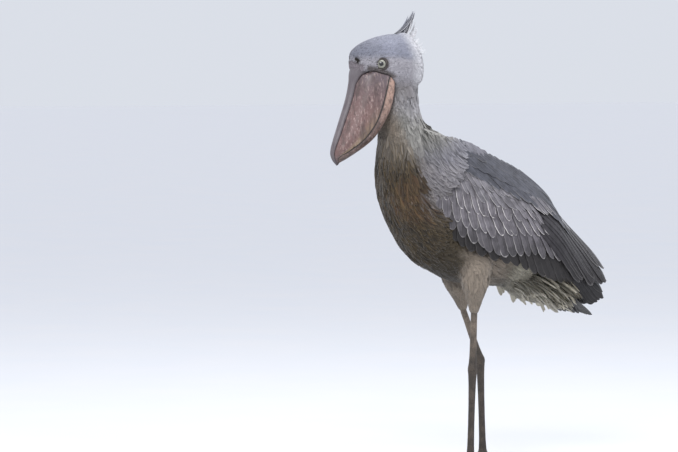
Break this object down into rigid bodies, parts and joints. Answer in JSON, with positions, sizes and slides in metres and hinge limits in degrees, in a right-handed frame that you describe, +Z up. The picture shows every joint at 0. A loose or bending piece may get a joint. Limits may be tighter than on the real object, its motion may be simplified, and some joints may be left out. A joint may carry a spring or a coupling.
{
  "type": "shoebill model",
  "caption": "Life-size still model of a shoebill standing in mid step, wings folded, with a deep hooked bill and a short crest.",
  "frame": {"origin": "on the floor under the middle of the whole bird's box", "axes": "+Z up, -Y the way the body faces, +X the bird's left"},
  "size_m": [0.288, 0.7832, 1.1186],
  "materials": {
    "flight_feathers": "smooth slate feather vane",
    "grey_feathers": "soft short feathers",
    "breast_feathers": "streaked long feathers",
    "down": "soft downy plumes",
    "bill_horn": "satin mottled horn",
    "eye": "wet gloss",
    "leg_skin": "matte scaled skin",
    "claw_horn": "satin horn"
  },
  "bodies": {
    "root": {"torso": "breast_feathers", "neck": "grey_feathers", "head": "grey_feathers", "crest": "grey_feathers", "upper_bill": "bill_horn", "lower_bill": "bill_horn", "eye_left": "eye", "eye_right": "eye", "wing_left": "flight_feathers", "wing_right": "flight_feathers", "tail": "flight_feathers", "vent_plumes": "down", "thigh_left": "down", "shin_left": "leg_skin", "shank_left": "leg_skin", "toe_inner_left": "leg_skin", "claw_inner_left": "claw_horn", "toe_middle_left": "leg_skin", "claw_middle_left": "claw_horn", "toe_outer_left": "leg_skin", "claw_outer_left": "claw_horn", "toe_hind_left": "leg_skin", "claw_hind_left": "claw_horn", "thigh_right": "down", "shin_right": "leg_skin", "shank_right": "leg_skin", "toe_inner_right": "leg_skin", "claw_inner_right": "claw_horn", "toe_middle_right": "leg_skin", "claw_middle_right": "claw_horn", "toe_outer_right": "leg_skin", "claw_outer_right": "claw_horn", "toe_hind_right": "leg_skin", "claw_hind_right": "claw_horn"}
  },
  "joints": []
}
